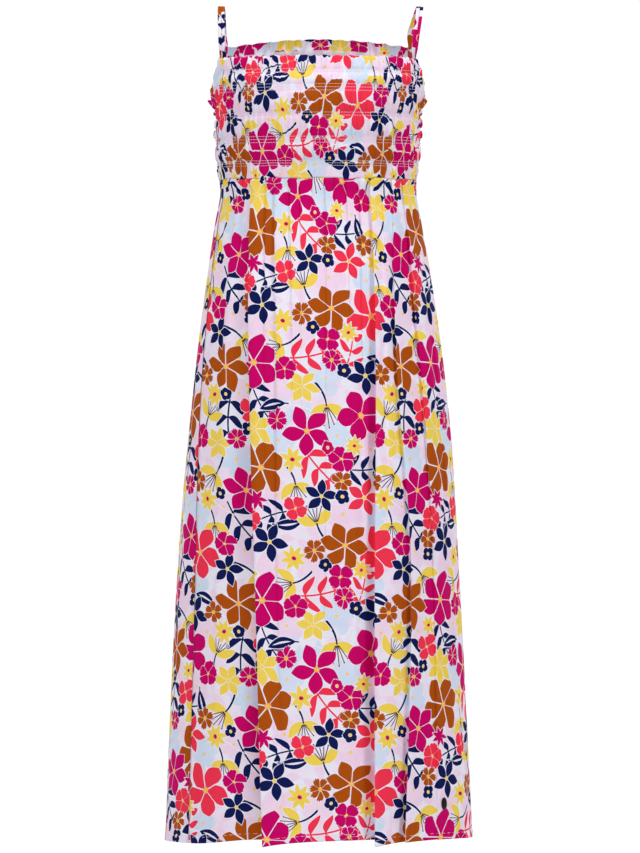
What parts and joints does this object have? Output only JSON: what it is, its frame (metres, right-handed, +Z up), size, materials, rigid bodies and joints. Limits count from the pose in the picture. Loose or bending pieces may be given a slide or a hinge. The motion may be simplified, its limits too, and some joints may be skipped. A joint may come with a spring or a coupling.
{
  "type": "maxi dress",
  "caption": "Sleeveless maxi dress on thin shoulder straps with an elastic-shirred, frilled bodice and a long gathered A-line skirt, in printed cloth.",
  "frame": {"origin": "midway between the undersides of the two shoulder strap tops, where the wearer's shoulders hold the dress", "axes": "+Z up along the dress from hem to straps, +X to the right of someone looking at its front, the front faces -Y"},
  "size_m": [0.461, 0.3229, 1.2502],
  "materials": {
    "printed_cloth": "matte woven cloth with a multicolour flower print",
    "dark_badge": "glossy black"
  },
  "bodies": {
    "root": {"bodice_front": "printed_cloth", "bodice_back": "printed_cloth", "strap_left": "printed_cloth", "strap_right": "printed_cloth", "skirt_front": "printed_cloth", "skirt_back": "printed_cloth", "hem_badge": "dark_badge"}
  },
  "joints": []
}
